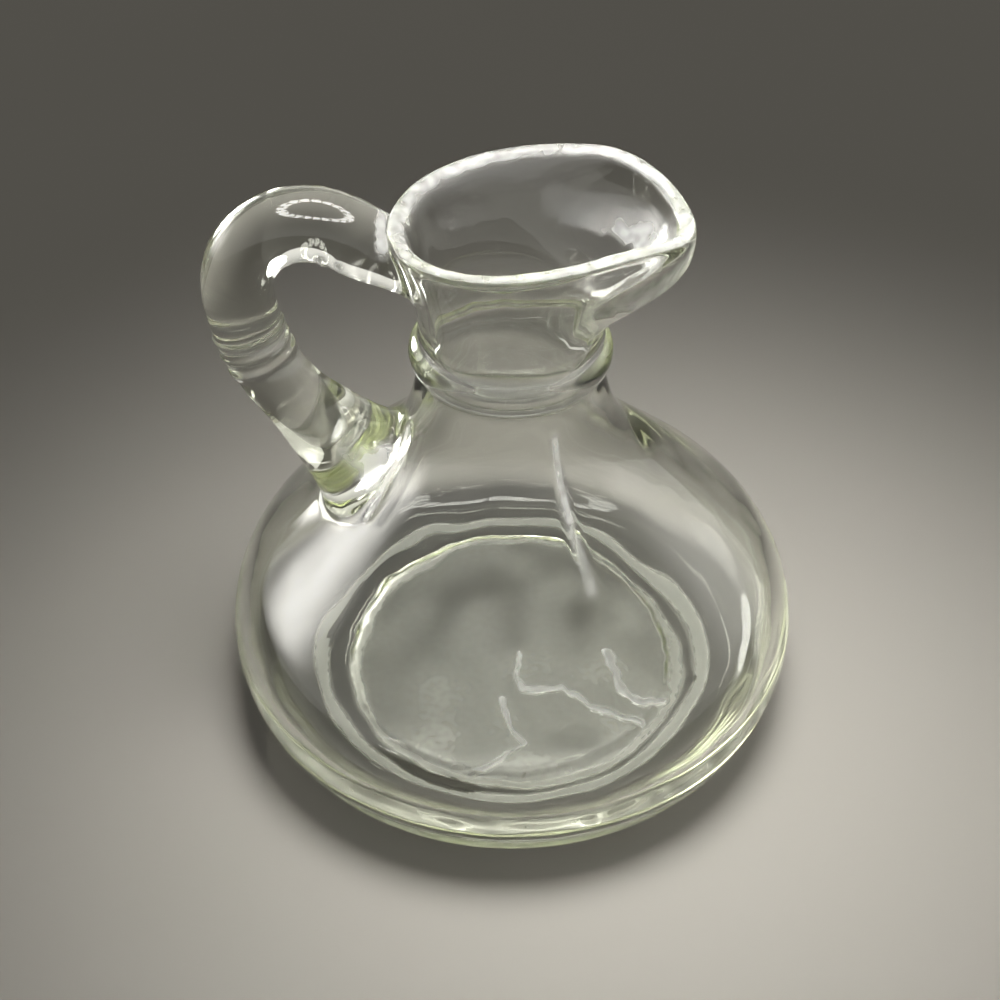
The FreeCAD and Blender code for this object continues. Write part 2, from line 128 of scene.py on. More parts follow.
# three finger rings round the rod
RING_TURN = 16.5
RING_MIDDLE = BEND_END + GRIP_RADIUS * math.radians(RING_TURN)
RING_SPACING = 2.7
RING_RISE = 0.55
RING_WIDTH = 0.66
RING_BAND = 4.6
RING_LOOPS = 14
DIP_DEPTH = 0.12
DIP_WIDTH = 5.0
ROD_STEP = 2.1
LOWER_ROD_STEP = 2.3


def arc(centre, radius, start, end, count):
    """Points of an arc, both ends included."""
    points = []
    for i in range(count):
        angle = math.radians(start + (end - start) * i / (count - 1))
        points.append((centre[0] + radius * math.cos(angle), centre[1] + radius * math.sin(angle)))
    return points


def at_distance(points, distance):
    """Point at a distance along a line of points."""
    for (r0, z0), (r1, z1) in zip(points, points[1:]):
        step = math.hypot(r1 - r0, z1 - z0)
        if distance <= step:
            share = distance / step
            return (r0 + (r1 - r0) * share, z0 + (z1 - z0) * share)
        distance -= step
    return points[-1]


def shoulder_line(wall):
    """Shoulder and throat, from the top of the bulge to the foot of the neck, a wall's thickness inside."""
    start = arc(BULGE_CENTRE, BULGE_RADIUS - wall, LEAN, LEAN, 2)[0]
    throat = arc(THROAT_CENTRE, THROAT_RADIUS + wall, 180 + LEAN, 180, 24)
    return [start] + throat


def smooth_step(share):
    share = min(max(share, 0), 1)
    return share * share * (3 - 2 * share)


def mouth_reach(phi, z, inside):
    """Reach of the mouth's wall at a height."""
    waist, rim, tip, full = (
        (WAIST_INSIDE, RIM_INSIDE, SPOUT_INSIDE, INSIDE_FULL_REACH)
        if inside
        else (WAIST_OUTSIDE, RIM_OUTSIDE, SPOUT_OUTSIDE, OUTSIDE_FULL_REACH)
    )
    s = (z - WAIST_Z) / MOUTH_HEIGHT
    round_reach = waist + (rim - waist) * max(s, 0) ** FLARE_POWER
    spout_reach = waist + (tip - waist) * smooth_step(s / full)
    share = ((1 + math.cos(phi)) / 2) ** SPOUT_NARROWNESS
    return round_reach + (spout_reach - round_reach) * share


def rim_height(x):
    """Height of the rim's top over a place along the pouring direction."""
    if x <= BOW_START:
        return RIM_Z + x * RIM_SLOPE
    top = RIM_Z + BOW_START * RIM_SLOPE
    slope_angle = math.atan(RIM_SLOPE)
    centre_x = BOW_START + BOW_RADIUS * math.sin(slope_angle)
    centre_z = top - BOW_RADIUS * math.cos(slope_angle)
    off = min(x - centre_x, BOW_RADIUS * 0.98)
    return centre_z + math.sqrt(BOW_RADIUS ** 2 - off ** 2)


def middle_reach(phi, z):
    return (mouth_reach(phi, z, False) + mouth_reach(phi, z, True)) / 2


rim_tops = {}


def rim_top(phi):
    """Height where the wall's middle line meets the rim's top."""
    key = round(phi, 5)
    if key not in rim_tops:
        z = RIM_Z
        for _ in range(30):
            z = 0.5 * z + 0.5 * rim_height(middle_reach(phi, z) * math.cos(phi))
        rim_tops[key] = z
    return rim_tops[key]


def mouth_point(phi, s, side, rise):
    """Point of the mouth: s is the share of the height and side is 1 outside and -1 inside.

    rise goes on past the wall's end, for the round of the lip.
    """
    top = rim_top(phi)
    run = middle_reach(phi, top) - middle_reach(phi, top - 1.0)
    length = math.hypot(run, 1.0)
    along = (run / length, 1.0 / length)
    end = top - LIP_RISE * along[1]
    z = WAIST_Z + (end - WAIST_Z) * s
    middle = middle_reach(phi, z)
    half = (mouth_reach(phi, z, False) - mouth_reach(phi, z, True)) / 2
    return (middle + side * half + rise * along[0], z + rise * along[1])


def turned(points):
    return [("turned", r, z) for r, z in points]


def wall_rows():
    """Rows of the whole wall, from under the floor, up the outside, over the lip and down the inside."""
    rows = turned(PUSH_UP_ROWS)
    rows += turned(FOOT_ROWS)
    rows += turned(arc(BULGE_CENTRE, BULGE_RADIUS, HEEL_END, LEAN, 9))
    outside = shoulder_line(0)
    weld_from = len(rows) + 4
    rows += turned([at_distance(outside, run) for run in SHOULDER_RUNS])
    rows += turned(BEAD_ROWS)
    rows += turned([(WAIST_OUTSIDE, WAIST_Z)])
    weld_top = len(rows) + 2
    rows += [("mouth", s, 1, 0) for s in (0.12, 0.24, 0.36, 0.49, 0.62, 0.75, 0.88, 1.0)]
    for angle in (30, 62, 90, 118, 150):
        a = math.radians(angle)
        rows.append(("mouth", 1.0, math.cos(a), LIP_RISE * math.sin(a)))
    rows += [("mouth", s, -1, 0) for s in (1.0, 0.85, 0.68, 0.5, 0.32, 0.15)]
    rows += turned([(WAIST_INSIDE, WAIST_Z), (WAIST_INSIDE, 75.0)])
    inside = shoulder_line(WALL)
    shares = (1.0, 0.88, 0.75, 0.6, 0.4, 0.2)
    rows += turned([at_distance(inside, INNER_SHOULDER * share) for share in shares])
    rows += turned(arc(BULGE_CENTRE, BULGE_RADIUS - WALL, LEAN, FLOOR_CORNER_START, 4)[:-1])
    rows += turned(arc(FLOOR_CORNER, FLOOR_CORNER_RADIUS, FLOOR_CORNER_START, -90, 7))
    rows += turned([(r, FLOOR_TOP) for r in (32.0, 28.5, 25.0, 21.5, 18.0, 14.5, 11.0, 7.5, 4.0, 0.0)])
    return rows, weld_from, weld_top


ROWS, LOWER_WELD_ROW, UPPER_WELD_ROW = wall_rows()


def row_point(row, phi):
    """Reach and height of a row in one direction."""
    if row[0] == "turned":
        return row[1], row[2]
    return mouth_point(phi, row[1], row[2], row[3])


def wall_point(phi, place):
    """Point of the wall at a place between rows."""
    place = min(max(place, 0), len(ROWS) - 1.000001)
    low = int(place)
    r0, z0 = row_point(ROWS[low], phi)
    r1, z1 = row_point(ROWS[low + 1], phi)
    share = place - low
    r = r0 + (r1 - r0) * share
    z = z0 + (z1 - z0) * share
    return Vector((r * math.cos(phi), r * math.sin(phi), z))


class Weld:
    """Opening in the wall for one end of the handle, made round."""

    def __init__(self, first_row, row_count, columns, across, along, reach):
        self.first_row = first_row
        self.last_row = first_row + row_count
        self.columns = columns
        self.across = across
        self.along = along
        self.reach = reach
        self.arcs = [0.0]
        for i in range(len(ROWS) - 1):
            r0, z0 = row_point(ROWS[i], HALF_TURN)
            r1, z1 = row_point(ROWS[i + 1], HALF_TURN)
            self.arcs.append(self.arcs[-1] + math.hypot(r1 - r0, z1 - z0))
        self.centre_arc = (self.arcs[self.first_row] + self.arcs[self.last_row]) / 2
        self.half_height = (self.arcs[self.last_row] - self.arcs[self.first_row]) / 2
        self.middle_reach = row_point(ROWS[(self.first_row + self.last_row) // 2], HALF_TURN)[0]
        self.half_width = columns * FULL_TURN / SIDES * self.middle_reach

    def place_at(self, arc_length):
        for i in range(len(self.arcs) - 1):
            if arc_length <= self.arcs[i + 1]:
                return i + (arc_length - self.arcs[i]) / (self.arcs[i + 1] - self.arcs[i])
        return len(self.arcs) - 1

    def moved(self, phi, row):
        """Turn and place of a vertex after the opening is made round."""
        across = (phi - HALF_TURN) * self.middle_reach
        along = self.arcs[row] - self.centre_arc
        distance = math.hypot(across, along)
        if distance < 1e-6 or distance > self.reach:
            return phi, row
        c, s = across / distance, along / distance
        edge = min(self.half_width / max(abs(c), 1e-9), self.half_height / max(abs(s), 1e-9))
        target = 1 / math.hypot(c / self.across, s / self.along)
        if distance < edge - 1e-4:
            return phi, row
        new = target + (distance - edge) * (self.reach - target) / (self.reach - edge)
        return HALF_TURN + new * c / self.middle_reach, self.place_at(self.centre_arc + new * s)

    def inside(self, phi, row):
        columns = abs(phi - HALF_TURN) / (FULL_TURN / SIDES)
        return columns < self.columns - 0.25 and self.first_row + 0.25 < row < self.last_row - 0.25


UPPER = Weld(UPPER_WELD_ROW, row_count=6, columns=3, across=6.3, along=6.0, reach=11.5)
LOWER = Weld(LOWER_WELD_ROW, row_count=6, columns=3, across=8.8, along=9.4, reach=17.0)


def circle_turn(vert):
    """Turn of a vertex round the axis, from 0 to a full turn."""
    turn = math.atan2(vert.co.y, vert.co.x)
    return turn if turn >= -1e-6 else turn + FULL_TURN


def spun_wall(bm):
    """Closed wall of the cruet: a line turned round the axis, with each ring then moved to its row."""
    verts = [bm.verts.new((1.0, 0.0, float(i))) for i in range(len(ROWS))]
    edges = [bm.edges.new(pair) for pair in zip(verts, verts[1:])]
    bmesh.ops.spin(
        bm,
        geom=verts + edges,
        cent=(0, 0, 0),
        axis=(0, 0, 1),
        angle=FULL_TURN,
        steps=SIDES,
        use_merge=True,
    )
    doomed = []
    for face in bm.faces:
        centre = face.calc_center_median()
        turn = math.atan2(centre.y, centre.x)
        turn = turn if turn >= 0 else turn + FULL_TURN
        for weld in (UPPER, LOWER):
            if weld.inside(turn, centre.z):
                doomed.append(face)
    bmesh.ops.delete(bm, geom=doomed, context="FACES")
    loops = {}
    for edge in bm.edges:
        if edge.is_boundary:
            middle = (edge.verts[0].co + edge.verts[1].co) / 2
            if 1 < middle.z < len(ROWS) - 2:
                name = "lower" if middle.z < UPPER_WELD_ROW - 1 else "upper"
                loops.setdefault(name, []).append(edge)
    for vert in bm.verts:
        phi = circle_turn(vert)
        row = round(vert.co.z)
        place = row
        if 1.5 < phi < 4.8:
            for weld in (UPPER, LOWER):
                if weld.first_row - 6 <= row <= weld.last_row + 5:
                    phi, place = weld.moved(phi, row)
                    break
        vert.co = wall_point(phi, place)
    return loops


def path_point(distance):
    """Middle line of the handle: reach, height and direction, from the mouth down to the shoulder."""
    start = math.radians(BEND_TURN)
    bend_length = BEND_RADIUS * start
    dip = math.radians(UPPER_DIP)
    if distance < UPPER_RUN:
        left = UPPER_RUN - distance
        r = BEND_CENTRE[0] - BEND_RADIUS * math.sin(dip) - left * math.cos(dip)
        z = BEND_CENTRE[1] + BEND_RADIUS * math.cos(dip) - left * math.sin(dip)
        return r, z, (math.cos(dip), math.sin(dip))
    distance -= UPPER_RUN
    if distance < bend_length:
        angle = start - distance / BEND_RADIUS
        r = BEND_CENTRE[0] + BEND_RADIUS * math.cos(angle)
        z = BEND_CENTRE[1] + BEND_RADIUS * math.sin(angle)
        return r, z, (math.sin(angle), -math.cos(angle))
    distance -= bend_length
    grip_length = GRIP_RADIUS * math.radians(GRIP_TURN)
    angle = -min(distance, grip_length) / GRIP_RADIUS
    r = GRIP_CENTRE[0] + GRIP_RADIUS * math.cos(angle)
    z = GRIP_CENTRE[1] + GRIP_RADIUS * math.sin(angle)
    direction = (math.sin(angle), -math.cos(angle))
    left = max(distance - grip_length, 0)
    return r + left * direction[0], z + left * direction[1], direction


def rod_radius(distance):
    """Radius of the rod, with the finger rings in their shallow dip and the flared lower end."""
    radius = ROD_RADIUS
    for number in (-1, 0, 1):
        off = distance - RING_MIDDLE - number * RING_SPACING
        radius += RING_RISE * math.exp(-((off / RING_WIDTH) ** 2))
    off = abs(distance - RING_MIDDLE)
    radius -= DIP_DEPTH * math.exp(-((off / DIP_WIDTH) ** 4))
    radius += FLARE * smooth_step((distance - HANDLE_END + FLARE_LENGTH) / FLARE_LENGTH)
    return radius


def rod_ring(bm, distance):
    """One round loop of edges, square to the handle's middle line."""
    r, z, direction = path_point(distance)
    forward = Vector((-direction[0], 0, direction[1]))
    side = Vector((0, 1, 0))
    up = side.cross(forward)
    turn = Matrix((up, side, forward)).transposed().to_4x4()
    place = Matrix.Translation((-r, 0, z)) @ turn
    made = bmesh.ops.create_circle(
        bm, cap_ends=False, segments=ROD_SIDES, radius=rod_radius(distance), matrix=place
    )
    edges = []
    for vert in made["verts"]:
        edges += [edge for edge in vert.link_edges if edge not in edges]
    return edges


def ring_places():
    """Distances of the rod's loops: close together at the finger rings."""
    first = RING_MIDDLE - RING_BAND
    last = RING_MIDDLE + RING_BAND
    places = []
    at = 0.0
    while at < first - 1.0:
        places.append(at)
        at += ROD_STEP
    places += [first + (last - first) * i / RING_LOOPS for i in range(RING_LOOPS + 1)]
    at = last + 1.4
    while at < HANDLE_END - 0.5:
        places.append(at)
        at += LOWER_ROD_STEP
    return places


def add_handle(bm, loops):
    """Rod of glass, bridged into both openings in the wall."""
    rings = [rod_ring(bm, place) for place in ring_places()]
    for one, other in zip(rings, rings[1:]):
        bmesh.ops.bridge_loops(bm, edges=one + other)
    bmesh.ops.bridge_loops(bm, edges=loops["upper"] + rings[0])
    bmesh.ops.bridge_loops(bm, edges=loops["lower"] + rings[-1])


def cruet_mesh():
    bm = bmesh.new()
    loops = spun_wall(bm)
    add_handle(bm, loops)
    bmesh.ops.remove_doubles(bm, verts=bm.verts, dist=0.0005)
    bmesh.ops.recalc_face_normals(bm, faces=bm.faces)
    bmesh.ops.scale(bm, vec=(MM, MM, MM), verts=bm.verts)
    mesh = bpy.data.meshes.new("cruet_cage")
    bm.to_mesh(mesh)
    bm.free()
    return mesh


def smooth_object(name, mesh, levels):
    cage = bpy.data.objects.new(name + "_cage", mesh)
    bpy.context.scene.collection.objects.link(cage)
    rounding = cage.modifiers.new("rounding", "SUBSURF")
    rounding.levels = levels
    rounding.render_levels = levels
    bpy.context.view_layer.update()
    graph = bpy.context.evaluated_depsgraph_get()
    made = bpy.data.meshes.new_from_object(cage.evaluated_get(graph))
    bpy.data.objects.remove(cage)
    made.name = name
    piece = bpy.data.objects.new(name, made)
    bpy.context.scene.collection.objects.link(piece)
    return piece


# creases left in the inner floor as the glass cooled: turning points across the floor, in millimetres
FLOOR_CREASES = (
    ((1, -4), (1, -9), (2, -13.5), (9, -12.5), (14, -17), (23, -20.5), (24.5, -24), (22, -28)),
    ((-1.5, -16), (-0.5, -21), (2, -25), (-4, -30.5), (-7, -32)),
    ((18, -3.5), (19.5, -13), (23, -16), (27.5, -16)),
)
CREASE_HEIGHT = 0.5
CREASE_WIDTH = 0.7
CREASE_REACH = 2.4

# round pit in the inner floor
PIT = (-12.0, -18.0)
PIT_RADIUS = 2.6
PIT_WIDTH = 0.9
PIT_DEPTH = 0.16

# worn rings under the foot, whitened partly by wear and partly as painted highlight, and a painted glow
# inside the push-up
FOOT_RING = 35.9
FOOT_RING_WIDTH = 1.35
PUSH_UP_EDGE = 30.2
PUSH_UP_EDGE_WIDTH = 0.8
PUSH_UP_CENTRE = Vector((1.2, -1.8, 0))
PAINTED_GLOW = 0.2

# painted highlight on the lip, and on the bead's lower and upper edge, put in as whitened glass
LIP_PAINTED_HIGHLIGHT = 0.4
LIP_FOOT = 88
BEAD_PAINTED_HIGHLIGHT = 0.2
BEAD_LOWER_EDGE = 71.6
BEAD_UPPER_EDGE = 76.0

# raised lines on the outside of the wall: the upper and the lower end, each as a turn round the axis in
# degrees and a height, then width and height in millimetres, and how much painted highlight whitens them
SEAM_WIDTH = 0.55
STREAK_WIDTH = 0.8
WALL_MARKS = (
    ((-65, 66), (-65, 54), SEAM_WIDTH, 0.35, 0.6),
    ((-65, 54), (-65, 46), SEAM_WIDTH, 0.25, 0.35),
    ((-161, 61), (-155, 53.5), STREAK_WIDTH, 0.45, 0.9),
    ((-155, 53.5), (-151, 49), STREAK_WIDTH, 0.45, 0.7),
    ((-164, 57), (-158, 52), STREAK_WIDTH, 0.4, 0.8),
)

# two nicks across the handle's underside, by the mouth; their whitening is a painted highlight
HANDLE_NICKS = (
    ((-25.0, -5.2, 91.6), (-25.0, -1.5, 88.5)),
    ((-27.6, -5.2, 92.7), (-27.6, -1.5, 89.6)),
)
NICK_WIDTH = 0.6
NICK_HEIGHT = 0.5
NICK_PAINTED_HIGHLIGHT = 0.9


def ridge(off, width, power=2):
    """Share of a smooth ridge's height at a distance from its line."""
    return math.exp(-((off / width) ** power))


def on_floor(co):
    """True at the height of the inner floor."""
    return abs(co.z - FLOOR_TOP) < 1


def mark_distance(co, reach, start, end):
    """Distance along the wall from a point to a steep line between two turns and heights."""
    share = min(max((co.z - start[1]) / (end[1] - start[1]), 0), 1)
    turn = math.atan2(co.y, co.x) - math.radians(start[0] + (end[0] - start[0]) * share)
    height = start[1] + (end[1] - start[1]) * share
    return math.hypot(reach * turn, co.z - height)


def line_distance(point, start, end):
    """Distance from a point to a straight line between two ends."""
    run = end - start
    share = min(max((point - start).dot(run) / run.length_squared, 0), 1)
    return (point - start - run * share).length


def floor_marks(co):
    """Height of the creases and the pit in the inner floor."""
    point = Vector((co.x, co.y))
    wander = Vector((noise.noise(co * 0.5), noise.noise(co * 0.5 + Vector((9, 4, 2))))) * 0.5
    height = 0.0
    for line in FLOOR_CREASES:
        near = min(line_distance(point + wander, Vector(a), Vector(b)) for a, b in zip(line, line[1:]))
        strength = 0.75 + 0.5 * noise.noise(co * 0.35 + Vector((1, 8, 3)))
        height += CREASE_HEIGHT * strength * ridge(near, CREASE_WIDTH)
    from_pit = (point - Vector(PIT)).length
    height -= PIT_DEPTH * ridge(from_pit - PIT_RADIUS, PIT_WIDTH)
    height += 0.05 * noise.noise(co * 0.22 + Vector((5, 5, 5)))
    return height


def near_creases(co, reach):
    """True over the inner floor within a reach of a crease."""
    point = Vector((co.x, co.y))
    return any(
        line_distance(point, Vector(a), Vector(b)) < reach
        for line in FLOOR_CREASES
        for a, b in zip(line, line[1:])
    )


def finer_floor(mesh):
    """Splits the inner floor's faces along the creases, so that the creases can be sharp."""
    bm = bmesh.new()
    bm.from_mesh(mesh)
    near = set()
    for vert in bm.verts:
        co = vert.co / MM
        if on_floor(co) and near_creases(co, CREASE_REACH):
            near.add(vert)
    edges = [e for e in bm.edges if e.verts[0] in near and e.verts[1] in near]
    bmesh.ops.subdivide_edges(bm, edges=edges, cuts=2, use_grid_fill=True)
    bmesh.ops.triangulate(bm, faces=[f for f in bm.faces if len(f.verts) > 4])
    bm.to_mesh(mesh)
    bm.free()


def underside_wear_and_glow(co, reach):
    """Whitening under the foot: wear on the foot ring and the push-up's edge, brightened further as painted
    highlight, and a painted glow inside the push-up, lighter towards the front.
    """
    grain = noise.noise(co * 0.45)
    # foot ring and push-up edge: worn glass, whitened beyond its wear as painted highlight
    foot = ridge(reach - FOOT_RING, FOOT_RING_WIDTH, 4) * (1.0 + 0.15 * grain)
    reach = (Vector((co.x, co.y, 0)) - PUSH_UP_CENTRE).length
    edge_reach = PUSH_UP_EDGE + 0.9 * noise.noise(co * 0.16)
    edge = ridge(reach - edge_reach, PUSH_UP_EDGE_WIDTH) * (0.95 + 0.7 * grain)
    painted_glow = 0.0
    # painted glow inside the push-up, lighter towards the front
    if reach < PUSH_UP_EDGE:
        painted_glow = PAINTED_GLOW - 0.004 * co.y + 0.2 * noise.noise(co * 0.11 + Vector((2, 6, 4)))
    return min(max(foot + edge + max(painted_glow, 0), 0), 1)


def painted_highlight_and_wear(co, reach, normal):
    """Share of whitened glass: wear under the foot with painted highlight on it, a painted glow inside the
    push-up, and painted highlights on the floor's creases, on the lip and on the bead.
    """
    if co.z < 2.5 and normal.z < 0:
        return underside_wear_and_glow(co, reach)
    # painted highlight on the crests of the floor's creases
    if on_floor(co) and reach < 32 and normal.z > 0.2:
        return min(max((co.z - FLOOR_TOP - 0.1) / 0.2, 0), 1)
    on_handle = co.x <= -19.5 and abs(co.y) <= 6
    # painted highlight on the lip's upward faces
    if co.z > LIP_FOOT and normal.z > 0.3 and reach > 12 and not on_handle:
        grain = noise.noise(co * 0.45)
        return LIP_PAINTED_HIGHLIGHT * smooth_step((normal.z - 0.2) / 0.5) * (1 + 0.4 * grain)
    # painted highlight along the bead's lower and upper edge
    if normal.z > -0.6 and 70 < co.z < 77:
        lower = BEAD_PAINTED_HIGHLIGHT * ridge(co.z - BEAD_LOWER_EDGE, 0.9)
        return lower + BEAD_PAINTED_HIGHLIGHT * ridge(co.z - BEAD_UPPER_EDGE, 0.6)
    return 0.0


def wall_marks(co, reach):
    """Height of the seam and the weld streaks at a point of the outer wall, and their whiteness, a painted
    highlight.
    """
    raised = 0.0
    wear_highlight_white = 0.0
    for start, end, width, height, mark_highlight in WALL_MARKS:
        if end[1] - 3 * width < co.z < start[1] + 3 * width:
            near = mark_distance(co, reach, start, end)
            if near < 3 * width:
                share = ridge(near, width)
                raised = max(raised, height * share)
                wear_highlight_white = max(wear_highlight_white, mark_highlight * share)
    return raised, wear_highlight_white


def swells(co, across, normal):
    """Slow uneven swells of hand-worked glass, creases in the floor and flow lines in the mouth."""
    push = noise.noise(co * 0.045 + Vector((3.1, 7.7, 1.9))) * 0.12
    push += noise.noise(Vector((co.x * 0.16, co.y * 0.16, co.z * 0.09)) + Vector((11.0, 2.0, 5.0))) * 0.05
    if across.length < 34 and on_floor(co) and normal.z > 0.3:
        push += floor_marks(co)
    if co.z > 79 and normal.dot(across) < 0:
        phi = math.atan2(co.y, co.x)
        flow = Vector((3.2 * math.cos(phi), 3.2 * math.sin(phi), co.z * 0.03))
        push += 0.07 * noise.noise(flow * 2)
    return push


def surface_marks(mesh):
    """Pushes the surface in and out for swells and marks, and writes how whitened each point is: wear under
    the foot, painted highlights and a painted glow.
    """
    normals = [n.vector.copy() for n in mesh.vertex_normals]
    wear_and_highlight = mesh.attributes.new("wear_and_highlight", "FLOAT", "POINT")
    for number, (vert, normal) in enumerate(zip(mesh.vertices, normals)):
        co = vert.co / MM
        across = Vector((co.x, co.y, 0))
        reach = across.length
        wear_highlight_white = 0.0
        push = swells(co, across, normal)
        if co.z < 2 and normal.z < 0:
            push *= 0.4
            if 28.5 < reach < 31.5:
                wobble = noise.noise(co * 0.3) * 0.45
                vert.co += across.normalized() * wobble * MM
        elif co.z > 30 and normal.dot(across) > -0.2 * reach:
            raised, wear_highlight_white = wall_marks(co, reach)
            push += raised
            if co.z > 87 and co.x < -22:
                near = min(line_distance(co, Vector(a), Vector(b)) for a, b in HANDLE_NICKS)
                share = ridge(near, NICK_WIDTH)
                push += NICK_HEIGHT * share
                # painted highlight along the nicks
                wear_highlight_white = max(wear_highlight_white, NICK_PAINTED_HIGHLIGHT * share)
        vert.co += normal * push * MM
        vert.co.z = max(vert.co.z, 0.0)
        wear_and_highlight.data[number].value = max(wear_highlight_white, painted_highlight_and_wear(vert.co / MM, reach, normal))


def glass_material():
    material = bpy.data.materials.new("clear_glass")
    material.use_nodes = True
    nodes = material.node_tree.nodes
    links = material.node_tree.links
    shader = nodes["Principled BSDF"]
    output = nodes["Material Output"]
    shader.inputs["Base Color"].default_value = (0.985, 0.99, 0.975, 1)
    shader.inputs["IOR"].default_value = 1.5
    tint = nodes.new("ShaderNodeVolumeAbsorption")
    tint.inputs["Color"].default_value = (0.84, 0.88, 0.62, 1)
    tint.inputs["Density"].default_value = 15.0
    links.new(tint.outputs["Volume"], output.inputs["Volume"])
    place = nodes.new("ShaderNodeTexCoord")
    grain = nodes.new("ShaderNodeTexNoise")
    grain.inputs["Scale"].default_value = 160.0
    grain.inputs["Detail"].default_value = 0.0
    links.new(place.outputs["Object"], grain.inputs["Vector"])
    bump = nodes.new("ShaderNodeBump")
    bump.inputs["Strength"].default_value = 0.10
    bump.inputs["Distance"].default_value = 0.0006
    links.new(grain.outputs["Fac"], bump.inputs["Height"])
    links.new(bump.outputs["Normal"], shader.inputs["Normal"])
    # whitening read from the mesh: wear under the foot, painted highlights and a painted glow
    whitening_node = nodes.new("ShaderNodeAttribute")
    whitening_node.attribute_name = "wear_and_highlight"
    specks = nodes.new("ShaderNodeTexNoise")
    specks.inputs["Scale"].default_value = 700.0
    specks.inputs["Detail"].default_value = 0.0
    links.new(place.outputs["Object"], specks.inputs["Vector"])
    speckled = nodes.new("ShaderNodeMapRange")
    speckled.inputs["From Min"].default_value = 0.25
    speckled.inputs["From Max"].default_value = 0.65
    speckled.inputs["To Min"].default_value = 0.75
    speckled.inputs["To Max"].default_value = 1.1
    links.new(specks.outputs["Fac"], speckled.inputs["Value"])
    whitening_share = nodes.new("ShaderNodeMath")
    whitening_share.operation = "MULTIPLY"
    whitening_share.use_clamp = True
    links.new(whitening_node.outputs["Fac"], whitening_share.inputs[0])
    links.new(speckled.outputs["Result"], whitening_share.inputs[1])
    rough = nodes.new("ShaderNodeMapRange")
    rough.inputs["To Min"].default_value = 0.015
    rough.inputs["To Max"].default_value = 0.5
    links.new(whitening_share.outputs[0], rough.inputs["Value"])
    links.new(rough.outputs["Result"], shader.inputs["Roughness"])
    # whitened places turn from clear glass to white: painted highlight, and wear under the foot
    wear_highlight_white = nodes.new("ShaderNodeMapRange")
    wear_highlight_white.inputs["To Min"].default_value = 1.0
    wear_highlight_white.inputs["To Max"].default_value = 0.12
    links.new(whitening_share.outputs[0], wear_highlight_white.inputs["Value"])
    links.new(wear_highlight_white.outputs["Result"], shader.inputs["Transmission Weight"])
    clear = nodes.new("ShaderNodeBsdfTransparent")
    clear.inputs["Color"].default_value = (0.965, 0.965, 0.955, 1)
    path = nodes.new("ShaderNodeLightPath")
    pick = nodes.new("ShaderNodeMixShader")
    links.new(path.outputs["Is Shadow Ray"], pick.inputs["Fac"])
    links.new(shader.outputs["BSDF"], pick.inputs[1])
    links.new(clear.outputs["BSDF"], pick.inputs[2])
    links.new(pick.outputs["Shader"], output.inputs["Surface"])
    return material


def make_cruet():
    piece = smooth_object("glass_cruet", cruet_mesh(), 2)
    finer_floor(piece.data)
    surface_marks(piece.data)
    for polygon in piece.data.polygons:
        polygon.use_smooth = True
    piece.data.materials.clear()
    piece.data.materials.append(glass_material())
    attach(piece, "root")
    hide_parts("cruet")


# lamps: places and sizes in metres, power in watts
SOFT_WHITE = (1.0, 0.985, 0.95)
RING_LAMPS = 20
RING_LAMP_SIZE = (0.065, 0.065)
RING_LAMP_POWER = 0.26
RING_LAMP_EDGE = 0.45
LAMP_RING_CENTRE = (0, -0.08, 0.36)
LAMP_RING_RADIUS = 0.15

# name, place, target, size, power, colour and how much of the reach fades out
SIDE_LAMPS = (
    ("window", (-0.40, 0.46, 0.12), (0, 0, 0.06), (0.34, 0.30), 22.0, (1.0, 0.99, 0.96), 0.8),
    ("left", (-0.50, 0.12, 0.17), (0, 0, 0.04), (0.50, 0.32), 3.4, (1.0, 0.98, 0.94), 0.95),
    ("right", (0.50, 0.14, 0.17), (0, 0, 0.04), (0.50, 0.30), 0.5, (1.0, 0.98, 0.94), 0.95),
)

# room's brightness: on matt surfaces, as seen in and through the glass, and how it falls with height
ROOM_ON_MATT = 0.38
ROOM_IN_GLASS = 0.85
ROOM_TOP = 0.45
ROOM_TOP_HEIGHT = 0.7

# camera: place in metres, tilts in degrees
CAMERA_PLACE = (0, -0.180, 0.202)
CAMERA_LENS = 50.65
CAMERA_DIP = 41.8
CAMERA_TURN = 0.61
CAMERA_ROLL = -0.5


def make_floor():
    bm = bmesh.new()
    bmesh.ops.create_grid(bm, x_segments=8, y_segments=8, size=1.6)
    mesh = bpy.data.meshes.new("table_top")
    bm.to_mesh(mesh)
    bm.free()
    floor = bpy.data.objects.new("table_top", mesh)
    bpy.context.scene.collection.objects.link(floor)
    material = bpy.data.materials.new("table_paint")
    material.use_nodes = True
    nodes = material.node_tree.nodes
    links = material.node_tree.links
    shader = nodes["Principled BSDF"]
    shader.inputs["Roughness"].default_value = 0.9
    shader.inputs["Specular IOR Level"].default_value = 0.0
    place = nodes.new("ShaderNodeTexCoord")
    mottle = nodes.new("ShaderNodeTexNoise")
    mottle.inputs["Scale"].default_value = 6.0
    ramp = nodes.new("ShaderNodeValToRGB")
    ramp.color_ramp.elements[0].color = (0.40, 0.385, 0.35, 1)
    ramp.color_ramp.elements[1].color = (0.43, 0.415, 0.375, 1)
    links.new(place.outputs["Object"], mottle.inputs["Vector"])
    links.new(mottle.outputs["Fac"], ramp.inputs["Fac"])
    links.new(ramp.outputs["Color"], shader.inputs["Base Color"])
    floor.data.materials.append(material)


def lamp(name, place, target, size, power, colour):
    data = bpy.data.lights.new(name, "AREA")
    data.shape = "RECTANGLE"
    data.size = size[0]
    data.size_y = size[1]
    data.energy = power
    data.color = colour
    light = bpy.data.objects.new(name, data)
    light.visible_camera = False
    light.location = place
    light.rotation_euler = (Vector(target) - Vector(place)).to_track_quat("-Z", "Y").to_euler()
    bpy.context.scene.collection.objects.link(light)
    return light


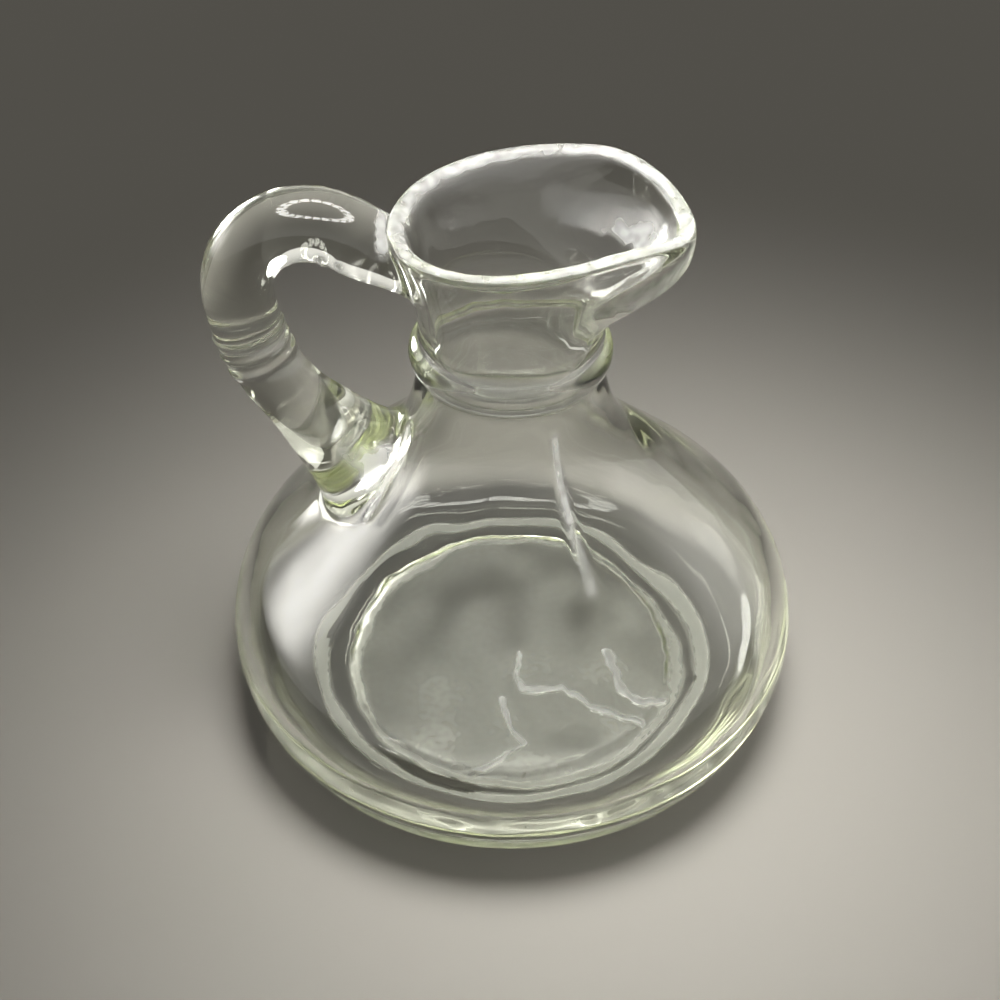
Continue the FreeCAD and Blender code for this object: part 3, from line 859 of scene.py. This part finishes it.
def soft_edge(light, edge):
    """Lets a lamp's glow fade over a share of its reach, so that the glass shows no hard shape."""
    light.data.use_nodes = True
    nodes = light.data.node_tree.nodes
    links = light.data.node_tree.links
    spot = nodes.new("ShaderNodeNewGeometry")
    off = nodes.new("ShaderNodeVectorMath")
    off.operation = "DISTANCE"
    off.inputs[1].default_value = (0.5, 0.5, 0.0)
    links.new(spot.outputs["Parametric"], off.inputs[0])
    fade = nodes.new("ShaderNodeMapRange")
    fade.interpolation_type = "SMOOTHSTEP"
    fade.inputs["From Min"].default_value = 0.5
    fade.inputs["From Max"].default_value = 0.5 * (1 - edge)
    links.new(off.outputs["Value"], fade.inputs["Value"])
    links.new(fade.outputs["Result"], nodes["Emission"].inputs["Strength"])


def glint_lamp(name, place, target, size, power, colour, edge):
    """Lamp that the glass shows but the table takes no light from."""
    light = lamp(name, place, target, size, power, colour)
    light.visible_diffuse = False
    soft_edge(light, edge)
    return light


def make_world():
    """Bright room round the table: what the glass mirrors and bends, while less of it lights the table."""
    world = bpy.data.worlds.new("room")
    bpy.context.scene.world = world
    world.use_nodes = True
    nodes = world.node_tree.nodes
    links = world.node_tree.links
    back = nodes["Background"]
    back.inputs["Color"].default_value = (1.0, 0.98, 0.93, 1)
    path = nodes.new("ShaderNodeLightPath")
    seen = nodes.new("ShaderNodeMath")
    seen.operation = "MAXIMUM"
    links.new(path.outputs["Is Camera Ray"], seen.inputs[0])
    links.new(path.outputs["Is Glossy Ray"], seen.inputs[1])
    through = nodes.new("ShaderNodeMath")
    through.operation = "MAXIMUM"
    links.new(seen.outputs[0], through.inputs[0])
    links.new(path.outputs["Is Transmission Ray"], through.inputs[1])
    level = nodes.new("ShaderNodeMapRange")
    level.inputs["To Min"].default_value = ROOM_ON_MATT
    level.inputs["To Max"].default_value = ROOM_IN_GLASS
    links.new(through.outputs[0], level.inputs["Value"])
    place = nodes.new("ShaderNodeTexCoord")
    height = nodes.new("ShaderNodeSeparateXYZ")
    links.new(place.outputs["Generated"], height.inputs[0])
    rise = nodes.new("ShaderNodeMapRange")
    rise.interpolation_type = "SMOOTHSTEP"
    rise.inputs["From Min"].default_value = 0.0
    rise.inputs["From Max"].default_value = ROOM_TOP_HEIGHT
    rise.inputs["To Min"].default_value = 1.0
    rise.inputs["To Max"].default_value = ROOM_TOP
    links.new(height.outputs["Z"], rise.inputs["Value"])
    strength = nodes.new("ShaderNodeMath")
    strength.operation = "MULTIPLY"
    links.new(level.outputs["Result"], strength.inputs[0])
    links.new(rise.outputs["Result"], strength.inputs[1])
    links.new(strength.outputs[0], back.inputs["Strength"])


def make_lights():
    pool = lamp("pool", (0.02, -0.02, 0.28), (0.02, -0.015, 0), (0.12, 0.12), 0.13, SOFT_WHITE)
    pool.data.shape = "DISK"
    pool.data.spread = math.radians(60)
    pool.visible_glossy = False
    pool.visible_transmission = False
    for number in range(RING_LAMPS):
        angle = 2 * math.pi * number / RING_LAMPS
        x = LAMP_RING_CENTRE[0] + LAMP_RING_RADIUS * math.cos(angle)
        y = LAMP_RING_CENTRE[1] + LAMP_RING_RADIUS * math.sin(angle)
        place = (x, y, LAMP_RING_CENTRE[2])
        below = (x, y, 0)
        name = f"ring_{number}"
        glint_lamp(name, place, below, RING_LAMP_SIZE, RING_LAMP_POWER, SOFT_WHITE, RING_LAMP_EDGE)
    for side in SIDE_LAMPS:
        glint_lamp(*side)


def make_camera():
    data = bpy.data.cameras.new("camera")
    data.lens = CAMERA_LENS
    data.sensor_width = 36.0
    data.clip_start = 0.01
    camera = bpy.data.objects.new("camera", data)
    camera.location = CAMERA_PLACE
    look = Matrix.Rotation(math.radians(CAMERA_TURN), 4, "Z")
    look = look @ Matrix.Rotation(math.radians(90 - CAMERA_DIP), 4, "X")
    look = look @ Matrix.Rotation(math.radians(CAMERA_ROLL), 4, "Z")
    camera.rotation_euler = look.to_euler()
    bpy.context.scene.collection.objects.link(camera)
    bpy.context.scene.camera = camera


make_cruet()
make_floor()
make_world()
make_lights()
make_camera()
bpy.context.scene.view_settings.view_transform = "Standard"
paths = bpy.context.scene.cycles
paths.max_bounces = 24
paths.glossy_bounces = 24
paths.transmission_bounces = 24
paths.transparent_max_bounces = 16
paths.caustics_reflective = False
paths.caustics_refractive = False
